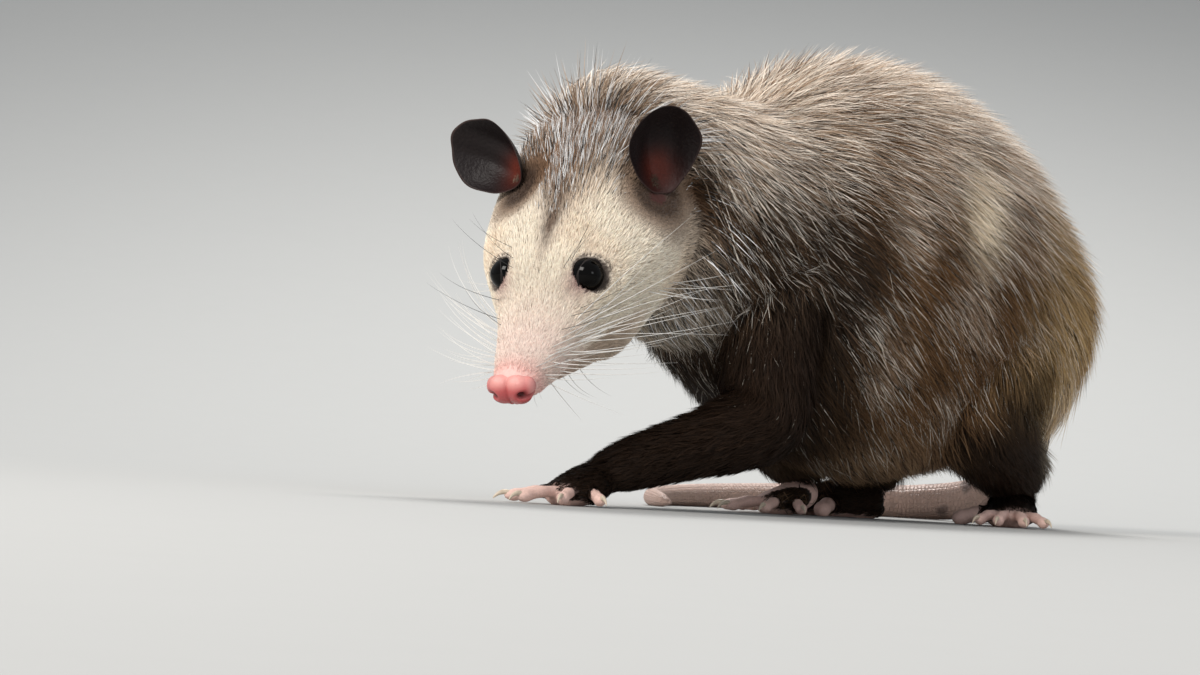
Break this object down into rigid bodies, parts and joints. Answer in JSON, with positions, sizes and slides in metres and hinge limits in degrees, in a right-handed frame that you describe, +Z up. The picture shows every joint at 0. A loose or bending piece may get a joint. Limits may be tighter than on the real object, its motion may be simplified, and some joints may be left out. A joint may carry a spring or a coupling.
{
  "type": "opossum",
  "caption": "Life-size still model of a Virginia opossum in mid step, head low, long coarse coat, naked ears, hands, feet and tail.",
  "frame": {"origin": "middle of the underside of the whole part's box, on the floor it stands on", "axes": "+X the way the animal walks, +Y its left side, +Z up"},
  "size_m": [0.411, 0.2046, 0.2295],
  "materials": {
    "face_fur": "short cream white fur",
    "coat": "long grizzled guard hair over grey brown underfur",
    "leg_fur": "short black brown fur",
    "ear_skin": "thin naked skin, satin",
    "nose_skin": "moist naked skin",
    "eye": "wet gloss",
    "toe_skin": "naked ringed skin, satin",
    "claw": "horn, slightly clear",
    "tail_dark": "scaled naked skin, dark",
    "tail_pale": "scaled naked skin, pale"
  },
  "bodies": {
    "root": {"ear_left": "ear_skin", "ear_right": "ear_skin", "eye_left": "eye", "eye_right": "eye", "foot_left": "toe_skin", "foot_left_claw_1": "claw", "foot_left_claw_2": "claw", "foot_left_claw_3": "claw", "foot_left_claw_4": "claw", "foot_right": "toe_skin", "foot_right_claw_1": "claw", "foot_right_claw_2": "claw", "foot_right_claw_3": "claw", "foot_right_claw_4": "claw", "forearm_left": "leg_fur", "forearm_right": "leg_fur", "hand_left": "toe_skin", "hand_left_claw_1": "claw", "hand_left_claw_2": "claw", "hand_left_claw_3": "claw", "hand_left_claw_4": "claw", "hand_left_claw_5": "claw", "hand_right": "toe_skin", "hand_right_claw_1": "claw", "hand_right_claw_2": "claw", "hand_right_claw_3": "claw", "hand_right_claw_4": "claw", "hand_right_claw_5": "claw", "head": "face_fur", "jaw": "face_fur", "neck": "coat", "nose": "nose_skin", "shank_left": "leg_fur", "shank_right": "leg_fur", "tail_base": "tail_dark", "tail_end": "tail_pale", "tail_middle": "tail_pale", "thigh_left": "coat", "thigh_right": "coat", "torso": "coat", "upper_arm_left": "leg_fur", "upper_arm_right": "leg_fur"}
  },
  "joints": []
}
